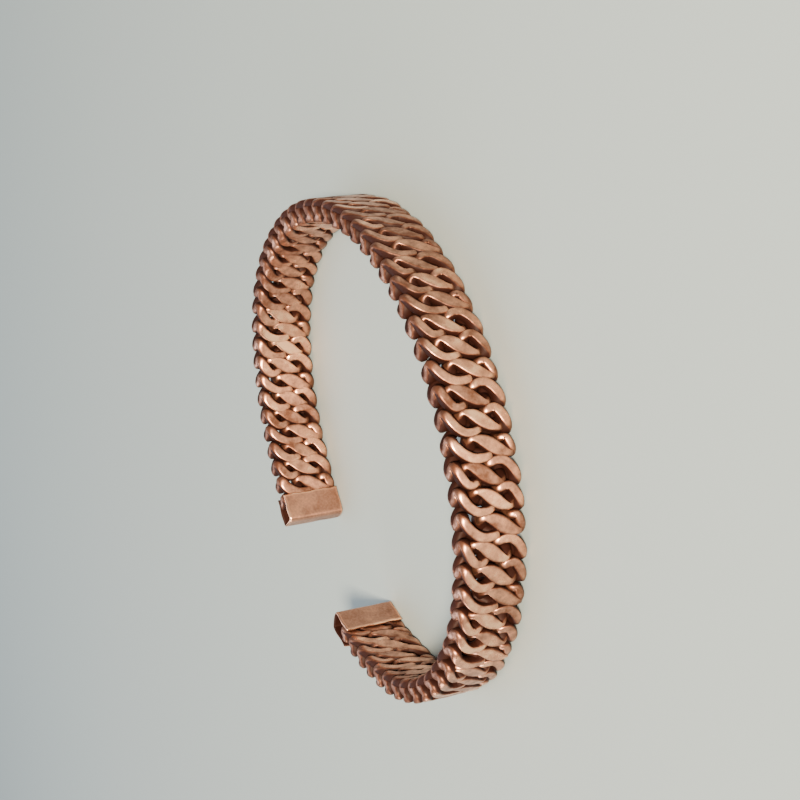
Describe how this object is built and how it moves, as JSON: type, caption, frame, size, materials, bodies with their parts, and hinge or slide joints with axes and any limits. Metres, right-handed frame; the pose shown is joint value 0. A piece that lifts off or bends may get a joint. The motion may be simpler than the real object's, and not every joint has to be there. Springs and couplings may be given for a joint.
{
  "type": "copper bracelet",
  "caption": "Open cuff bracelet woven flat from thick copper wire, with a folded sheet cap on each end; it is worn round the wrist.",
  "frame": {"origin": "middle of the cuff's outline, on the surface that the cuff lies on", "axes": "+X from the mouth to the back of the cuff, +Y along its longer way across, +Z across the band, so that the cuff lies on one edge"},
  "size_m": [0.0544, 0.0666, 0.0082],
  "materials": {
    "copper_wire": "hammered flat copper wire, polished on its high places and dark brown with age between them",
    "copper_sheet": "thin folded copper sheet, worn to a soft shine, with small dents and bright edges"
  },
  "bodies": {
    "root": {"left_strand": "copper_wire", "middle_strand": "copper_wire", "right_strand": "copper_wire", "upper_cap": "copper_sheet", "lower_cap": "copper_sheet"}
  },
  "joints": []
}
